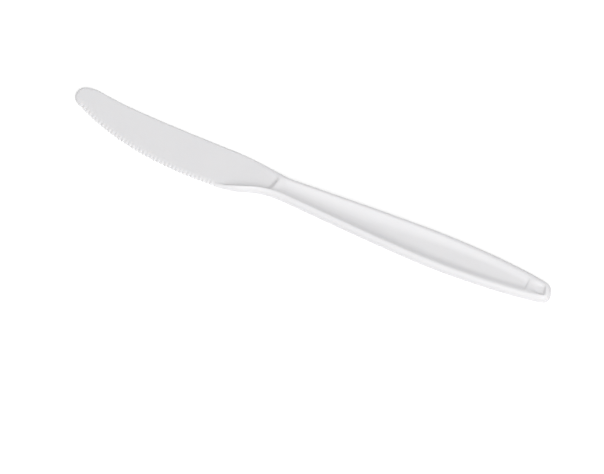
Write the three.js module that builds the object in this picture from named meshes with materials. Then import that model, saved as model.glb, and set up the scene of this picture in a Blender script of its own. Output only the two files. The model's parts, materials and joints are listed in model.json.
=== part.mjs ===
import * as THREE from "three";
import { mergeVertices } from "three/addons/utils/BufferGeometryUtils.js";

// A moulded plastic table knife in one piece, lying on its flat underside.
// X runs from the tip of the blade to the end of the handle, the cutting edge faces -Y and Z is up.
// Sizes are in millimetres. Places along X are worked out from the tip, and Y from the handle's axis.

// Lengths
const overallLength = 175;
const bladeLength = 74;
const tipLength = 5.6;
const spineWaistFromStep = 15.7;
const bellyFromStep = 26.8;
const narrowestPastStep = 4.6;
const widestFromEnd = 40.8;
const endCornerLength = 4.4;

// Heights of the outline above and below the handle's axis
const tipAboveAxis = 4.7;
const tipTopAboveAxis = 8.62;
const spineAboveAxis = 6.4;
const bellyBelowAxis = 8.4;
const neckWidth = 8.75;
const neckAboveAxis = 0.17;
const handleWidth = 13.4;
const handleAboveAxis = -0.15;
const endWidth = 8.1;
const endAboveAxis = -1;
const endLean = 0.45;

// Shares that place the control points of the outline's curves
const endBluntness = 0.72;
const cornerTaper = 0.17;
const tailLeave = 0.17;
const tailArrive = 0.34;
const tailTaper = 0.82;
const noseRise = 0.72;
const noseRun = 0.42;
const chinDrop = 0.5;
const chinRun = 0.45;
const chinLift = 0.2;
const teethRun = 0.38;
const teethFall = 0.93;
const teethArrive = 0.17;

// Thicknesses
const bladeThickness = 1.3;
const handleHeight = 2.8;
const endSideHeight = 2.5;
const channelFloor = 1.3;
const channelEndRise = 0.35;
const saddleHeight = 2;
const saddleRise = 0.4;
const padHeight = 0.36;

// Rim, channel and steps
const rimRound = 1.1;
const neckRimRound = 0.7;
const rimLean = 0.2;
const footWidth = 0.4;
const footHeight = 0.45;
const channelSlope = 4.2;
const channelEndSlope = 2.8;
const crestTurn = 0.1;
const endCrestTurn = 0.4;
const neckWallSlope = 0.9;
const endWallSlope = 1.15;
const spineRound = 0.8;
const spineLean = 0.05;
const undersideRound = 0.4;
const undersideBulge = 0.3;
const stepLength = 1.1;
const stepCornerRadius = 1.6;
const stepSweep = 0.16;
const saddleLength = 2.2;
const channelRunIn = 45;
const padFromEnd = 9;
const padStepLength = 0.55;

// Cutting edge
const teethStart = 3.2;
const teethStartAboveAxis = 0.9;
const teethEndFromStep = 17.6;
const toothPitch = 1.4;
const toothDepth = 0.42;
const edgeThickness = 1.1;
const edgeRound = 0.1;
const edgeLean = 0.05;
const bevelWidth = 1.8;
const grooveDepth = 0.2;

// Lengths over which one shape fades to the next
const rimRise = 12;
const spineRise = 7;
const endFade = 4;
const cornerFade = 1.5;
const wallRise = 8;
const teethFade = 2;
const channelEndFade = 55;
const bladeWallFade = 2;

// Shares that one part of a section may take of another
const crownShareOfReach = 0.45;
const rowShareOfBorder = 0.95;
const undersideShareOfLip = 0.4;
const footShareOfLip = 0.6;

// Numbers of cross rows along the knife
const tipRowCount = 10;
const neckRowCount = 10;
const stepRowCount = 11;
const runInRowCount = 8;
const channelRowCount = 20;
const padStepRowCount = 6;
const padRowCount = 3;
const endRowCount = 10;

const closest = 1e-3;

const knifeColour = 0xe9e8ea;
const knifeRoughness = 0.35;

// Places along X that follow from the sizes
const stepX = bladeLength;
const neckX = stepX + narrowestPastStep;
const teethEnd = stepX - teethEndFromStep;
const padX = overallLength - padFromEnd;
const cornerX = overallLength - endCornerLength;
const stepSweepReach = stepSweep * (neckAboveAxis + neckWidth / 2) ** 2;

const point = (x, y) => new THREE.Vector2(x, y);
const mix = THREE.MathUtils.lerp;
const ramp = (x, from, to) => THREE.MathUtils.smoothstep(x, from, to);

// Outline of the knife seen from above

// A curve that leaves one point and reaches the next level with X.
function swing(from, to, leave, arrive) {
  const span = to.x - from.x;
  const first = point(from.x + leave * span, from.y);
  const second = point(to.x - arrive * span, to.y);
  return new THREE.CubicBezierCurve(from, first, second, to);
}

// The handle from its narrowest place to the middle of its end. side is 1 for the spine, -1 for the edge.
function handleCurves(side) {
  const neck = point(neckX, neckAboveAxis + side * neckWidth / 2);
  const widest = point(overallLength - widestFromEnd, handleAboveAxis + side * handleWidth / 2);
  const corner = point(cornerX, side * endWidth / 2);
  const end = point(overallLength, endAboveAxis);
  const square = point(side > 0 ? end.x - endLean : end.x, corner.y);
  const taper = (handleWidth - endWidth) / 2;
  const run = corner.x - widest.x;
  const tail = new THREE.CubicBezierCurve(
    widest,
    point(widest.x + tailLeave * run, widest.y),
    point(corner.x - tailArrive * run, corner.y + side * tailTaper * taper),
    corner,
  );
  const rounding = new THREE.CubicBezierCurve(
    corner,
    point(mix(corner.x, square.x, endBluntness), corner.y - side * cornerTaper * taper),
    point(square.x, mix(end.y, square.y, endBluntness)),
    end,
  );
  return [swing(neck, widest, 0.05, 0.3), tail, rounding];
}

function spineCurves() {
  const tip = point(0, tipAboveAxis);
  const top = point(tipLength, tipTopAboveAxis);
  const waist = point(stepX - spineWaistFromStep, spineAboveAxis);
  const neck = point(neckX, neckAboveAxis + neckWidth / 2);
  const rise = top.y - tip.y;
  const nose = new THREE.CubicBezierCurve(
    tip,
    point(0, tip.y + noseRise * rise),
    point(noseRun * top.x, top.y),
    top,
  );
  return [nose, swing(top, waist, 0.1, 0.94), swing(waist, neck, 0.37, 0.1), ...handleCurves(1)];
}

function edgeCurves() {
  const tip = point(0, tipAboveAxis);
  const start = point(teethStart, teethStartAboveAxis);
  const belly = point(stepX - bellyFromStep, -bellyBelowAxis);
  const neck = point(neckX, neckAboveAxis - neckWidth / 2);
  const drop = tip.y - start.y;
  const fall = start.y - belly.y;
  const run = belly.x - start.x;
  const nose = new THREE.CubicBezierCurve(
    tip,
    point(0, tip.y - chinDrop * drop),
    point(chinRun * start.x, start.y + chinLift * drop),
    start,
  );
  const teeth = new THREE.CubicBezierCurve(
    start,
    point(start.x + teethRun * run, start.y - teethFall * fall),
    point(belly.x - teethArrive * run, belly.y),
    belly,
  );
  return [nose, teeth, swing(belly, neck, 0.79, 0.5), ...handleCurves(-1)];
}

const spine = spineCurves();
const edge = edgeCurves();

// The point of an outline at a given X, found by halving.
function pointAtX(curves, x) {
  const curve = curves.find((c) => x <= c.v3.x) ?? curves.at(-1);
  let low = 0;
  let high = 1;
  const halvings = 40;
  for (let i = 0; i < halvings; i += 1) {
    const middle = (low + high) / 2;
    if (curve.getPoint(middle).x < x) {
      low = middle;
    } else {
      high = middle;
    }
  }
  return curve.getPoint(low);
}

const samplesPerCurve = 60;
const outline = [...spine, ...edge].map((curve) => curve.getPoints(samplesPerCurve));

// Distance from a point inside the knife to its outline.
function inset(p) {
  let nearest = Infinity;
  for (const samples of outline) {
    for (let i = 1; i < samples.length; i += 1) {
      const along = samples[i].clone().sub(samples[i - 1]);
      const offset = p.clone().sub(samples[i - 1]);
      const t = THREE.MathUtils.clamp(offset.dot(along) / along.lengthSq(), 0, 1);
      nearest = Math.min(nearest, offset.addScaledVector(along, -t).length());
    }
  }
  return nearest;
}

// Shape of the upper face

// How far the channel has gone over to its shallow end.
const towardEnd = (x) => ramp(x, padX - channelEndFade, padX);
const channelWallSlope = (x) => mix(channelSlope, channelEndSlope, towardEnd(x));
const atEnd = (x) => ramp(x, cornerX - endFade, cornerX + cornerFade);
const rimHeight = (x) => mix(handleHeight, endSideHeight, towardEnd(x) * (1 - atEnd(x)));

// Height inside the border: blade, step, saddle, channel floor and raised pad at the end.
function innerHeight({ x, y }, distance) {
  const pastRim = (distance - footWidth - rimLean - rimRound - neckWallSlope / 2) / stepCornerRadius;
  const intoCorner = THREE.MathUtils.clamp(1 - pastRim, 0, 1);
  const cornerShift = stepCornerRadius * (1 - Math.sqrt(1 - intoCorner ** 2));
  const shiftedStep = stepX - cornerShift + stepSweep * Math.max(0, y) ** 2;
  const saddleEnd = stepX + stepLength + saddleLength;
  const runIn = THREE.MathUtils.clamp((x - saddleEnd) / channelRunIn, 0, 1);
  const channel = mix(saddleHeight, channelFloor, 1 - (1 - runIn) ** 2) + channelEndRise * towardEnd(x);
  const saddle = saddleRise * (1 - ramp(x, stepX + stepLength, saddleEnd));
  const handle = channel + saddle + padHeight * ramp(x, padX, padX + padStepLength);
  return mix(bladeThickness, handle, ramp(x, shiftedStep, shiftedStep + stepLength));
}

// The border along the spine: a plain rounded back on the blade, the rim on the handle.
function spineBorder(x) {
  const toHandle = ramp(x, stepX - spineRise, neckX);
  return {
    crest: mix(bladeThickness, rimHeight(x), toHandle),
    foot: footWidth * toHandle,
    lean: mix(spineLean, rimLean, toHandle),
    round: mix(spineRound, rimRound, toHandle),
    slope: mix(mix(bevelWidth, channelWallSlope(x), toHandle), endWallSlope, atEnd(x)),
    turn: mix(crestTurn, endCrestTurn, towardEnd(x)),
  };
}

// The border along the edge: bevel and teeth, then a wall that rises to the rim at the neck.
function edgeBorder(x) {
  const intoTeeth = ramp(x, teethStart - teethFade, teethStart + teethFade);
  const toTeeth = intoTeeth * (1 - ramp(x, teethEnd - teethFade, teethEnd));
  const toWall = ramp(x, teethEnd, teethEnd + wallRise);
  const toHandle = ramp(x, stepX, neckX);
  const toRim = ramp(x, stepX - rimRise, neckX);
  const bladeSlope = mix(bevelWidth, neckWallSlope, ramp(x, teethEnd - bladeWallFade, teethEnd));
  return {
    crest: mix(mix(bladeThickness, edgeThickness, toTeeth), rimHeight(x), toWall),
    foot: footWidth * toWall,
    lean: mix(mix(spineLean, edgeLean, toTeeth), rimLean, toWall),
    round: mix(mix(mix(spineRound, edgeRound, toTeeth), neckRimRound, toWall), rimRound, toRim),
    slope: mix(mix(bladeSlope, channelWallSlope(x), toHandle), endWallSlope, atEnd(x)),
    turn: mix(crestTurn, endCrestTurn, towardEnd(x)),
  };
}

// The border made small enough for a place where the knife is reach wide on each side of its middle.
function fitted(border, reach) {
  const shrink = Math.min(1, crownShareOfReach * reach / (border.foot + border.lean + border.round));
  const foot = shrink * border.foot;
  const lean = shrink * border.lean;
  const round = shrink * border.round;
  const crown = foot + lean + round;
  const slope = Math.min(border.slope, reach - crown);
  return { ...border, foot, lean, round, crown, slope };
}

// Share of the way down from the crest, with the steepest place just inside it.
function descent(distance, border) {
  const share = THREE.MathUtils.clamp((distance - border.crown) / border.slope, 0, 1);
  if (share < border.turn) {
    return share ** 2 / border.turn;
  }
  return 1 - (1 - share) ** 2 / (1 - border.turn);
}

// Height of the upper face at a distance from the outline.
function upperHeight(place, distance, border) {
  const height = mix(border.crest, innerHeight(place, distance), descent(distance, border));
  const outside = THREE.MathUtils.clamp(border.crown - distance, 0, border.round);
  return height - border.round + Math.sqrt(border.round ** 2 - outside ** 2);
}

// Cross rows of the knife, each from the edge over the middle to the spine

const crossRow = (near, far, middle, notch = 0) => ({ near, far, middle, notch });
const halfway = (a, b) => a.clone().add(b).multiplyScalar(0.5);

function tipRows(count) {
  const centre = halfway(edge[0].v3, spine[0].v3);
  const rows = [];
  for (let i = 0; i < count; i += 1) {
    rows.push(crossRow(edge[0].getPoint(i / count), spine[0].getPoint(i / count), centre));
  }
  return rows;
}

// Two rows for each tooth, one on its point and one in the notch behind it.
function toothRows() {
  const count = Math.round((teethEnd - teethStart) / toothPitch);
  const rows = [];
  for (let i = 0; i < 2 * count; i += 1) {
    const near = pointAtX(edge, mix(teethStart, teethEnd, i / (2 * count)));
    const far = pointAtX(spine, mix(tipLength, teethEnd, i / (2 * count)));
    rows.push(crossRow(near, far, halfway(near, far), i % 2));
  }
  return rows;
}

function plainRows(from, to, count) {
  const rows = [];
  for (let i = 0; i < count; i += 1) {
    const x = mix(from, to, i / count);
    const near = pointAtX(edge, x);
    const far = pointAtX(spine, x);
    rows.push(crossRow(near, far, halfway(near, far)));
  }
  return rows;
}

function endRows(count) {
  const centre = point(cornerX, 0);
  const rows = [];
  for (let i = 0; i <= count; i += 1) {
    rows.push(crossRow(edge.at(-1).getPoint(i / count), spine.at(-1).getPoint(i / count), centre));
  }
  return rows;
}

// Shares of the rounding's quarter turn and of the slope at which a row has a point.
const roundShares = [0, 0.25, 0.5, 0.75, 1];
const slopeShares = [0.08, 0.18, 0.32, 0.48, 0.65, 0.82, 1];

// Distances from the outline at which a border has its points, drawn together where the row is short.
function borderDistances(border, length) {
  const stretch = Math.min(1, rowShareOfBorder * length / (border.crown + border.slope));
  const onRound = roundShares.map((share) => border.crown - border.round * Math.cos(share * Math.PI / 2));
  const onSlope = slopeShares.map((share) => border.crown + share * border.slope);
  return [...onRound, ...onSlope].map((distance) => stretch * distance);
}

// The points of one half of a row, from the bottom over the border to just before the middle.
function halfRing(side, start, row, fullBorder) {
  const border = fitted(fullBorder, inset(row.middle));
  const inward = row.middle.clone().sub(start);
  const length = inward.length();
  inward.normalize();
  const notch = side < 0 ? row.notch : 0;
  const place = (distance) => {
    const setBack = notch * toothDepth * (1 - distance / length);
    return start.clone().addScaledVector(inward, distance + setBack);
  };
  const below = (distance, height) => new THREE.Vector3(...place(distance), height);
  const above = (distance) => {
    const on = place(distance);
    const groove = notch * grooveDepth * Math.max(0, 1 - distance / bevelWidth);
    return new THREE.Vector3(on.x, on.y, upperHeight(on, inset(on), border) - groove);
  };
  const lip = above(border.foot + border.lean);
  const round = Math.min(undersideRound, undersideShareOfLip * lip.z);
  const footTop = Math.min(footHeight, footShareOfLip * lip.z);
  const bulge = undersideBulge * round;
  const under = [below(round, 0), below(bulge, bulge), below(0, round)];
  const foot = [below(0, footTop), below(border.foot, footTop)];
  return [...under, ...foot, ...borderDistances(border, length).map(above)];
}

// The whole ring of a row: edge half, middle of the upper face, spine half, middle of the underside.
function ring(row) {
  const nearHalf = halfRing(-1, row.near, row, edgeBorder(row.near.x));
  const farHalf = halfRing(1, row.far, row, spineBorder(row.far.x));
  const reach = inset(row.middle);
  const middle = new THREE.Vector3(row.middle.x, row.middle.y, innerHeight(row.middle, reach));
  const below = new THREE.Vector3(row.middle.x, row.middle.y, 0);
  return [...nearHalf, middle, ...farHalf.reverse(), below];
}

// Joins the rings to one closed skin and leaves out faces that have closed up to a line.
function skin(rings) {
  const positions = [];
  const addFace = (a, b, c) => {
    if (Math.min(a.distanceTo(b), b.distanceTo(c), c.distanceTo(a)) > closest) {
      positions.push(...a.toArray(), ...b.toArray(), ...c.toArray());
    }
  };
  for (let i = 1; i < rings.length; i += 1) {
    const here = rings[i - 1];
    const next = rings[i];
    here.forEach((corner, j) => {
      const k = (j + 1) % here.length;
      addFace(corner, next[j], here[k]);
      addFace(here[k], next[j], next[k]);
    });
  }
  const geometry = new THREE.BufferGeometry();
  geometry.setAttribute("position", new THREE.Float32BufferAttribute(positions, 3));
  return mergeVertices(geometry, closest);
}

// Close rows at the two steps and wide ones between them.
function knifeRows() {
  const stepStart = stepX - stepCornerRadius;
  const stepEnd = stepX + stepLength + stepSweepReach;
  const padStart = padX - padStepLength;
  const padEnd = padX + 2 * padStepLength;
  const openStart = neckX + rimRise;
  return [
    ...tipRows(tipRowCount),
    ...toothRows(),
    ...plainRows(teethEnd, stepStart, neckRowCount),
    ...plainRows(stepStart, stepEnd, stepRowCount),
    ...plainRows(stepEnd, openStart, runInRowCount),
    ...plainRows(openStart, padStart, channelRowCount),
    ...plainRows(padStart, padEnd, padStepRowCount),
    ...plainRows(padEnd, cornerX, padRowCount),
    ...endRows(endRowCount),
  ];
}

function knife() {
  const geometry = skin(knifeRows().map(ring));
  geometry.computeBoundingBox();
  const centre = geometry.boundingBox.getCenter(new THREE.Vector3());
  geometry.translate(-centre.x, -centre.y, 0);
  geometry.computeVertexNormals();
  const material = new THREE.MeshStandardMaterial({
    color: knifeColour,
    roughness: knifeRoughness,
    metalness: 0,
  });
  const mesh = new THREE.Mesh(geometry, material);
  mesh.name = "knife";
  return mesh;
}

const object = new THREE.Group();
object.add(knife());

export default object;
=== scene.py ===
import json
import math

import bpy
from bpy.props import FloatProperty, FloatVectorProperty, IntProperty, PointerProperty
from bpy.types import Operator, Panel, PropertyGroup
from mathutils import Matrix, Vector

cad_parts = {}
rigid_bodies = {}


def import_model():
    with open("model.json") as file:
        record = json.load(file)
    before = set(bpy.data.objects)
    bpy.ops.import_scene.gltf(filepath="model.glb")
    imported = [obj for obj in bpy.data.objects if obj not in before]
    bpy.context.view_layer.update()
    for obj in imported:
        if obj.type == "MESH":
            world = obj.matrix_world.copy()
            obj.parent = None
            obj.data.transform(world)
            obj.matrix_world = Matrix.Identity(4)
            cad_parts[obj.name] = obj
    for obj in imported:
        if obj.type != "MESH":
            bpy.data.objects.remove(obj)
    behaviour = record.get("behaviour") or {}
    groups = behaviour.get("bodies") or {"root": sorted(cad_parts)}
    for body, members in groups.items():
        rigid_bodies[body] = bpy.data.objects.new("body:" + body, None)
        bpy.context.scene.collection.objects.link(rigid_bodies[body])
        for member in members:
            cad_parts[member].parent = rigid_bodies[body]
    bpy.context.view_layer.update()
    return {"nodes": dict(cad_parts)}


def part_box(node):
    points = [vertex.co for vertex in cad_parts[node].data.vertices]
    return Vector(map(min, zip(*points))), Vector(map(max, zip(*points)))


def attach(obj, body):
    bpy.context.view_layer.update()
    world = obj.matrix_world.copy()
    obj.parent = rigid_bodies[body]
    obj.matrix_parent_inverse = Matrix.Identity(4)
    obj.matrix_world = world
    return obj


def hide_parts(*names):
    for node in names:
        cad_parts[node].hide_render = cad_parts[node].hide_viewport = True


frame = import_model()

bl_info = {
    "name": "Plastic Knife",
    "version": (1, 0, 0),
    "blender": (4, 5, 0),
    "location": "3D View > Sidebar > Knife",
    "description": "Makes a moulded white plastic table knife and the studio it is seen in",
    "category": "Object",
}

KNIFE_NODE = "knife"
IMAGE_WIDTH = 604
IMAGE_HEIGHT = 474
PIXELS_PER_METRE = 3000
CAMERA_NEAREST = 0.01
FLOOR_CORNERS = 96
FLOOR_ROUGHNESS = 0.9

# Points of the solid that are nearer than this are one point.
WELD_DISTANCE = 2e-6

# An edge runs across the blade where less than this share of its length lies along the knife.
ACROSS_BLADE_LIMIT = 0.5

# Scale and detail of the plastic's noise patterns.
CLOUDS = (55, 3)
POLISH = (140, 4)
RIPPLES = (130, 2)

# Values of the polish noise at which the plastic is glossiest and dullest.
POLISH_RANGE = (0.3, 0.7)

# Red light spreads furthest inside the plastic.
LIGHT_TRAVEL_SHARES = (1, 0.95, 0.9)


class KnifeSettings(PropertyGroup):
    """Surface of the knife and its plastic."""

    smoothing: IntProperty(
        name="Smoothing",
        description="Times that each face of the knife is divided to round its surface",
        default=2,
        min=0,
        max=2,
    )
    tooth_angle: FloatProperty(
        name="Tooth Angle",
        description="Edges of the teeth that bend more than this stay sharp",
        default=math.radians(12),
        min=0,
        max=math.pi,
        subtype="ANGLE",
        unit="ROTATION",
    )
    teeth_start: FloatProperty(
        name="Teeth Start",
        description="Place along the knife where the teeth start",
        default=-0.0845,
        precision=4,
        subtype="DISTANCE",
        unit="LENGTH",
    )
    teeth_end: FloatProperty(
        name="Teeth End",
        description="Place along the knife where the teeth end",
        default=-0.031,
        precision=4,
        subtype="DISTANCE",
        unit="LENGTH",
    )
    teeth_top: FloatProperty(
        name="Teeth Top",
        description="Place across the knife above which there are no teeth",
        default=0.003,
        precision=4,
        subtype="DISTANCE",
        unit="LENGTH",
    )
    sharp_angle: FloatProperty(
        name="Sharp Angle",
        description="Edges that bend more than this aren't rounded and are shaded as sharp",
        default=math.radians(50),
        min=0,
        max=math.pi,
        subtype="ANGLE",
        unit="ROTATION",
    )
    colour: FloatVectorProperty(
        name="Plastic Colour",
        description="Colour of the white plastic",
        default=(0.85, 0.845, 0.855),
        size=3,
        min=0,
        max=1,
        subtype="COLOR",
    )
    cloud_colour: FloatVectorProperty(
        name="Cloud Colour",
        description="Colour of the faint clouds in the plastic",
        default=(0.825, 0.82, 0.835),
        size=3,
        min=0,
        max=1,
        subtype="COLOR",
    )
    gloss_roughness: FloatProperty(
        name="Gloss Roughness",
        description="Roughness of the plastic where the mould was smoothest",
        default=0.3,
        min=0,
        max=1,
        subtype="FACTOR",
    )
    satin_roughness: FloatProperty(
        name="Satin Roughness",
        description="Roughness of the plastic where the mould was worn",
        default=0.42,
        min=0,
        max=1,
        subtype="FACTOR",
    )
    translucency: FloatProperty(
        name="Translucency",
        description="Share of the light that spreads inside the plastic",
        default=0.25,
        min=0,
        max=1,
        subtype="FACTOR",
    )
    light_travel: FloatProperty(
        name="Light Travel",
        description="How far light spreads inside the plastic",
        default=0.0008,
        min=0,
        max=0.01,
        precision=5,
        subtype="DISTANCE",
        unit="LENGTH",
    )
    ripple_height: FloatProperty(
        name="Ripple Height",
        description="Height of the faint ripples that the mould leaves",
        default=0.00005,
        min=0,
        max=0.001,
        precision=6,
        subtype="DISTANCE",
        unit="LENGTH",
    )


class StudioSettings(PropertyGroup):
    """Floor, lamp and camera."""

    floor_radius: FloatProperty(
        name="Floor Radius",
        description="Radius of the round floor",
        default=4.0,
        min=0.5,
        subtype="DISTANCE",
        unit="LENGTH",
    )
    floor_gap: FloatProperty(
        name="Floor Gap",
        description="How far the floor lies under the knife, so that the two don't touch",
        default=0.00005,
        min=0,
        max=0.001,
        precision=6,
        subtype="DISTANCE",
        unit="LENGTH",
    )
    floor_colour: FloatVectorProperty(
        name="Floor Colour",
        description="Colour of the floor",
        default=(0.85, 0.85, 0.85),
        size=3,
        min=0,
        max=1,
        subtype="COLOR",
    )
    floor_lift: FloatProperty(
        name="Floor Lift",
        description="Light added to the floor where it is looked at",
        default=0.37,
        min=0,
        max=1,
    )
    sky_strength: FloatProperty(
        name="Sky Strength",
        description="Strength of the even light from all round",
        default=0.45,
        min=0,
        max=2,
    )
    lamp_place: FloatVectorProperty(
        name="Lamp Place",
        description="Where the soft lamp hangs, on the camera's side of the knife",
        default=(0.8, -1.16, 1.68),
        size=3,
        subtype="TRANSLATION",
        unit="LENGTH",
    )
    lamp_aim: FloatVectorProperty(
        name="Lamp Aim",
        description="The place on the floor that the lamp points at",
        default=(-1, 0, 0),
        size=3,
        subtype="TRANSLATION",
        unit="LENGTH",
    )
    lamp_size: FloatProperty(
        name="Lamp Size",
        description="Diameter of the soft lamp",
        default=2.8,
        min=0.01,
        subtype="DISTANCE",
        unit="LENGTH",
    )
    lamp_power: FloatProperty(
        name="Lamp Power",
        description="Power of the soft lamp",
        default=41,
        min=0,
        subtype="POWER",
        unit="POWER",
    )
    camera_azimuth: FloatProperty(
        name="Camera Azimuth",
        description="Turn of the camera round the knife, from the cutting edge towards the handle",
        default=math.radians(23.7),
        subtype="ANGLE",
        unit="ROTATION",
    )
    camera_elevation: FloatProperty(
        name="Camera Elevation",
        description="Angle of the camera above the table",
        default=math.radians(65),
        subtype="ANGLE",
        unit="ROTATION",
    )
    lens: FloatProperty(
        name="Lens",
        description="Focal length of the camera",
        default=600,
        min=10,
        subtype="DISTANCE_CAMERA",
        unit="CAMERA",
    )
    view_width: FloatProperty(
        name="View Width",
        description="Width of the picture at the knife",
        default=IMAGE_WIDTH / PIXELS_PER_METRE,
        min=0.01,
        precision=4,
        subtype="DISTANCE",
        unit="LENGTH",
    )
    centre_column: FloatProperty(
        name="Centre Column",
        description="Column of the picture at which the centre of the knife lies",
        default=309.8,
        subtype="PIXEL",
    )
    centre_row: FloatProperty(
        name="Centre Row",
        description="Row of the picture at which the centre of the knife lies",
        default=200.3,
        subtype="PIXEL",
    )


def leave_edit_mode():
    if bpy.context.mode != "OBJECT":
        bpy.ops.object.mode_set(mode="OBJECT")


def pick(piece):
    """Selects one object alone and makes it active."""
    leave_edit_mode()
    bpy.ops.object.select_all(action="DESELECT")
    piece.select_set(True)
    bpy.context.view_layer.objects.active = piece


def mesh_box(piece):
    """Lowest and highest corner of the piece's own mesh."""
    corners = [vertex.co for vertex in piece.data.vertices]
    low = Vector([min(corner[axis] for corner in corners) for axis in range(3)])
    high = Vector([max(corner[axis] for corner in corners) for axis in range(3)])
    return low, high


def add_node(tree, kind, x, y, **values):
    node = tree.nodes.new(kind)
    node.location = (x, y)
    for name, value in values.items():
        setattr(node, name, value)
    return node


def add_noise(tree, place, y, pattern):
    """Adds a noise pattern that stays fixed to the piece."""
    scale, detail = pattern
    noise = add_node(tree, "ShaderNodeTexNoise", -700, y)
    noise.inputs["Scale"].default_value = scale
    noise.inputs["Detail"].default_value = detail
    tree.links.new(place.outputs["Object"], noise.inputs["Vector"])
    return noise.outputs["Fac"]


def white_plastic(settings):
    """Semi-gloss white plastic: faint clouds, uneven gloss and the mould's soft ripples."""
    material = bpy.data.materials.new("white_plastic")
    material.use_nodes = True
    tree = material.node_tree
    link = tree.links.new
    shader = tree.nodes["Principled BSDF"]
    place = add_node(tree, "ShaderNodeTexCoord", -1100, 0)

    clouds = add_noise(tree, place, 300, CLOUDS)
    tint = add_node(tree, "ShaderNodeMix", -350, 300, data_type="RGBA")
    tint.inputs["A"].default_value = (*settings.colour, 1)
    tint.inputs["B"].default_value = (*settings.cloud_colour, 1)
    link(clouds, tint.inputs["Factor"])
    link(tint.outputs["Result"], shader.inputs["Base Color"])

    polish = add_noise(tree, place, 0, POLISH)
    gloss = add_node(tree, "ShaderNodeMapRange", -350, 0)
    gloss.inputs["From Min"].default_value = POLISH_RANGE[0]
    gloss.inputs["From Max"].default_value = POLISH_RANGE[1]
    gloss.inputs["To Min"].default_value = settings.gloss_roughness
    gloss.inputs["To Max"].default_value = settings.satin_roughness
    link(polish, gloss.inputs["Value"])
    link(gloss.outputs["Result"], shader.inputs["Roughness"])

    ripples = add_noise(tree, place, -300, RIPPLES)
    bump = add_node(tree, "ShaderNodeBump", -350, -300)
    bump.inputs["Strength"].default_value = 1
    bump.inputs["Distance"].default_value = settings.ripple_height
    link(ripples, bump.inputs["Height"])
    link(bump.outputs["Normal"], shader.inputs["Normal"])

    shader.inputs["Subsurface Weight"].default_value = settings.translucency
    shader.inputs["Subsurface Radius"].default_value = LIGHT_TRAVEL_SHARES
    shader.inputs["Subsurface Scale"].default_value = settings.light_travel
    return material


class KNIFE_OT_body(Operator):
    """Makes the knife, smooth and rounded, from the shape of the solid"""

    bl_idname = "knife.body"
    bl_label = "Knife"

    def execute(self, context):
        settings = context.scene.knife_settings
        solid = frame["nodes"][KNIFE_NODE]
        pick(solid)
        bpy.ops.object.duplicate()
        piece = context.object
        if piece is solid:
            raise RuntimeError("the solid couldn't be copied")
        # The marks that the copy takes over say that it is a solid of the frame.
        for key in list(piece.keys()):
            del piece[key]
        piece.name = "moulded_knife"
        pick(piece)
        bpy.ops.object.parent_clear(type="CLEAR_KEEP_TRANSFORM")
        self.close_surface()
        self.crease_edges(piece, settings)
        self.round_surface(piece, settings)
        self.fit_to_solid(piece)
        bpy.ops.object.shade_smooth_by_angle(angle=settings.sharp_angle)
        piece.data.materials.clear()
        piece.data.materials.append(white_plastic(settings))
        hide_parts(KNIFE_NODE)
        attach(piece, "root")
        return {"FINISHED"}

    def close_surface(self):
        """Merges the loose triangles of the copy and joins them to four-sided faces."""
        bpy.ops.object.mode_set(mode="EDIT")
        bpy.ops.mesh.select_all(action="SELECT")
        bpy.ops.mesh.remove_doubles(threshold=WELD_DISTANCE)
        bpy.ops.mesh.tris_convert_to_quads(face_threshold=math.pi, shape_threshold=math.pi)
        bpy.ops.object.mode_set(mode="OBJECT")

    def sharp_edges(self, piece, angle):
        """Numbers of the edges that bend more than an angle."""
        bpy.ops.object.mode_set(mode="EDIT")
        bpy.ops.mesh.select_mode(type="EDGE")
        bpy.ops.mesh.select_all(action="DESELECT")
        bpy.ops.mesh.edges_select_sharp(sharpness=angle)
        bpy.ops.object.mode_set(mode="OBJECT")
        return {edge.index for edge in piece.data.edges if edge.select}

    def crease_edges(self, piece, settings):
        """Creases sharp edges and teeth, so that rounding the surface leaves them as they are."""
        mesh = piece.data
        sharp = self.sharp_edges(piece, settings.sharp_angle)
        bent = self.sharp_edges(piece, settings.tooth_angle)
        crease = mesh.attributes.new("crease_edge", "FLOAT", "EDGE")
        for edge in mesh.edges:
            start, end = [mesh.vertices[index].co for index in edge.vertices]
            across_blade = abs((end - start).normalized().x) < ACROSS_BLADE_LIMIT
            on_tooth = across_blade and self.in_teeth((start + end) / 2, settings)
            creased = edge.index in sharp or (on_tooth and edge.index in bent)
            crease.data[edge.index].value = float(creased)

    def in_teeth(self, place, settings):
        """Tells whether a place lies where the teeth are."""
        along_teeth = settings.teeth_start < place.x < settings.teeth_end
        return along_teeth and place.y < settings.teeth_top

    def round_surface(self, piece, settings):
        """Rounds the surface by dividing its faces."""
        if not settings.smoothing:
            return
        smoother = piece.modifiers.new("Rounding", "SUBSURF")
        smoother.levels = settings.smoothing
        smoother.render_levels = settings.smoothing
        bpy.ops.object.modifier_apply(modifier=smoother.name)

    def fit_to_solid(self, piece):
        """Brings the rounded surface back to the length, width and height of the solid."""
        low, high = mesh_box(piece)
        solid_low, solid_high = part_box(KNIFE_NODE)
        size = high - low
        solid_size = solid_high - solid_low
        growth = [solid_size[axis] / size[axis] for axis in range(3)]
        bpy.ops.object.mode_set(mode="EDIT")
        bpy.ops.mesh.select_all(action="SELECT")
        bpy.ops.transform.resize(value=growth, center_override=low)
        bpy.ops.transform.translate(value=solid_low - low)
        bpy.ops.object.mode_set(mode="OBJECT")


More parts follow.
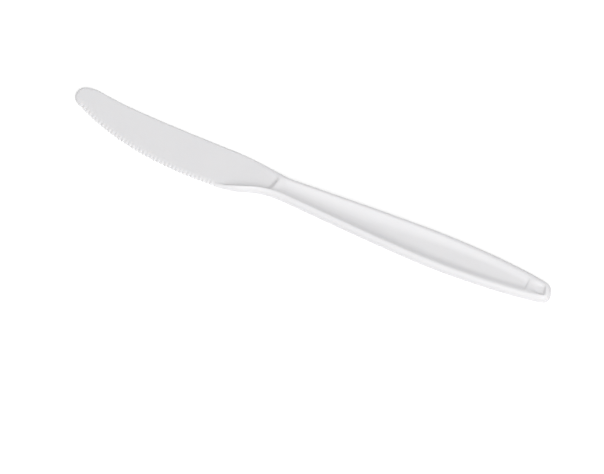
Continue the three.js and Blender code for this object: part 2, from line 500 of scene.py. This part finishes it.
def seen_rays(tree, x, y):
    """Adds nodes that give 1 for the rays by which a surface is looked at.

    It may be looked at straight, in gloss or through glass.
    """
    path = add_node(tree, "ShaderNodeLightPath", x, y)
    gloss = add_node(tree, "ShaderNodeMath", x + 200, y, operation="MAXIMUM")
    both = add_node(tree, "ShaderNodeMath", x + 400, y, operation="MAXIMUM")
    tree.links.new(path.outputs["Is Camera Ray"], gloss.inputs[0])
    tree.links.new(path.outputs["Is Glossy Ray"], gloss.inputs[1])
    tree.links.new(gloss.outputs["Value"], both.inputs[0])
    tree.links.new(path.outputs["Is Transmission Ray"], both.inputs[1])
    return both.outputs["Value"]


class KNIFE_OT_studio(Operator):
    """Makes the white floor, the soft lamp and the camera"""

    bl_idname = "knife.studio"
    bl_label = "Studio"

    def execute(self, context):
        settings = context.scene.studio_settings
        self.make_camera(context, settings)
        self.make_floor(settings)
        self.make_sky(context, settings)
        self.make_lamp(settings)
        context.scene.view_settings.view_transform = "Standard"
        return {"FINISHED"}

    def make_camera(self, context, settings):
        azimuth = settings.camera_azimuth
        elevation = settings.camera_elevation
        back = Vector(
            (
                math.sin(azimuth) * math.cos(elevation),
                -math.cos(azimuth) * math.cos(elevation),
                math.sin(elevation),
            )
        )
        right = Vector((math.cos(azimuth), math.sin(azimuth), 0))
        up = back.cross(right)
        bpy.ops.object.camera_add()
        camera = context.object
        camera.name = "studio_camera"
        camera.data.lens = settings.lens
        pixel = settings.view_width / IMAGE_WIDTH
        aim = (IMAGE_WIDTH / 2 - settings.centre_column) * pixel * right
        aim += (settings.centre_row - IMAGE_HEIGHT / 2) * pixel * up
        distance = settings.view_width * settings.lens / camera.data.sensor_width
        camera.location = aim + distance * back
        camera.rotation_euler = back.to_track_quat("Z", "Y").to_euler()
        camera.data.clip_start = CAMERA_NEAREST
        context.scene.camera = camera

    def make_floor(self, settings):
        leave_edit_mode()
        bpy.ops.object.select_all(action="DESELECT")
        bpy.ops.mesh.primitive_circle_add(
            vertices=FLOOR_CORNERS,
            radius=settings.floor_radius,
            fill_type="NGON",
            location=(0, 0, -settings.floor_gap),
        )
        bpy.ops.object.transform_apply(location=True, rotation=False, scale=False)
        floor = bpy.context.object
        floor.name = "floor"
        material = bpy.data.materials.new("floor_white")
        material.use_nodes = True
        tree = material.node_tree
        shader = tree.nodes["Principled BSDF"]
        shader.inputs["Base Color"].default_value = (*settings.floor_colour, 1)
        shader.inputs["Roughness"].default_value = FLOOR_ROUGHNESS
        shader.inputs["Specular IOR Level"].default_value = 0
        shader.inputs["Emission Color"].default_value = (1, 1, 1, 1)
        lift = add_node(tree, "ShaderNodeMath", -200, -300, operation="MULTIPLY")
        lift.inputs[1].default_value = settings.floor_lift
        tree.links.new(seen_rays(tree, -800, -300), lift.inputs[0])
        tree.links.new(lift.outputs["Value"], shader.inputs["Emission Strength"])
        floor.data.materials.append(material)

    def make_sky(self, context, settings):
        world = context.scene.world or bpy.data.worlds.new("Sky")
        context.scene.world = world
        world.use_nodes = True
        tree = world.node_tree
        tree.nodes.clear()
        output = add_node(tree, "ShaderNodeOutputWorld", 400, 0)
        background = add_node(tree, "ShaderNodeBackground", 200, 0)
        background.inputs["Color"].default_value = (1, 1, 1, 1)
        strength = add_node(tree, "ShaderNodeMapRange", 0, 0)
        strength.inputs["To Min"].default_value = settings.sky_strength
        strength.inputs["To Max"].default_value = 1
        tree.links.new(seen_rays(tree, -800, 0), strength.inputs["Value"])
        tree.links.new(strength.outputs["Result"], background.inputs["Strength"])
        tree.links.new(background.outputs["Background"], output.inputs["Surface"])

    def make_lamp(self, settings):
        place = Vector(settings.lamp_place)
        bpy.ops.object.light_add(type="AREA", location=place)
        lamp = bpy.context.object
        lamp.name = "soft_lamp"
        lamp.data.shape = "DISK"
        lamp.data.size = settings.lamp_size
        lamp.data.energy = settings.lamp_power
        backward = place - Vector(settings.lamp_aim)
        lamp.rotation_euler = backward.to_track_quat("Z", "Y").to_euler()
        lamp.visible_camera = False


class KNIFE_PT_panel(Panel):
    """Sidebar panel with the knife's settings and its operators"""

    bl_idname = "KNIFE_PT_panel"
    bl_label = "Plastic Knife"
    bl_space_type = "VIEW_3D"
    bl_region_type = "UI"
    bl_category = "Knife"

    def draw(self, context):
        for settings in (context.scene.knife_settings, context.scene.studio_settings):
            column = self.layout.column(align=True)
            for name in settings.__annotations__:
                column.prop(settings, name)
        self.layout.operator(KNIFE_OT_body.bl_idname)
        self.layout.operator(KNIFE_OT_studio.bl_idname)


CLASSES = (KnifeSettings, StudioSettings, KNIFE_OT_body, KNIFE_OT_studio, KNIFE_PT_panel)


def register():
    for item in CLASSES:
        bpy.utils.register_class(item)
    bpy.types.Scene.knife_settings = PointerProperty(type=KnifeSettings)
    bpy.types.Scene.studio_settings = PointerProperty(type=StudioSettings)


def unregister():
    del bpy.types.Scene.studio_settings
    del bpy.types.Scene.knife_settings
    for item in reversed(CLASSES):
        bpy.utils.unregister_class(item)


def main():
    register()
    bpy.ops.knife.body()
    bpy.ops.knife.studio()


if __name__ == "__main__":
    main()
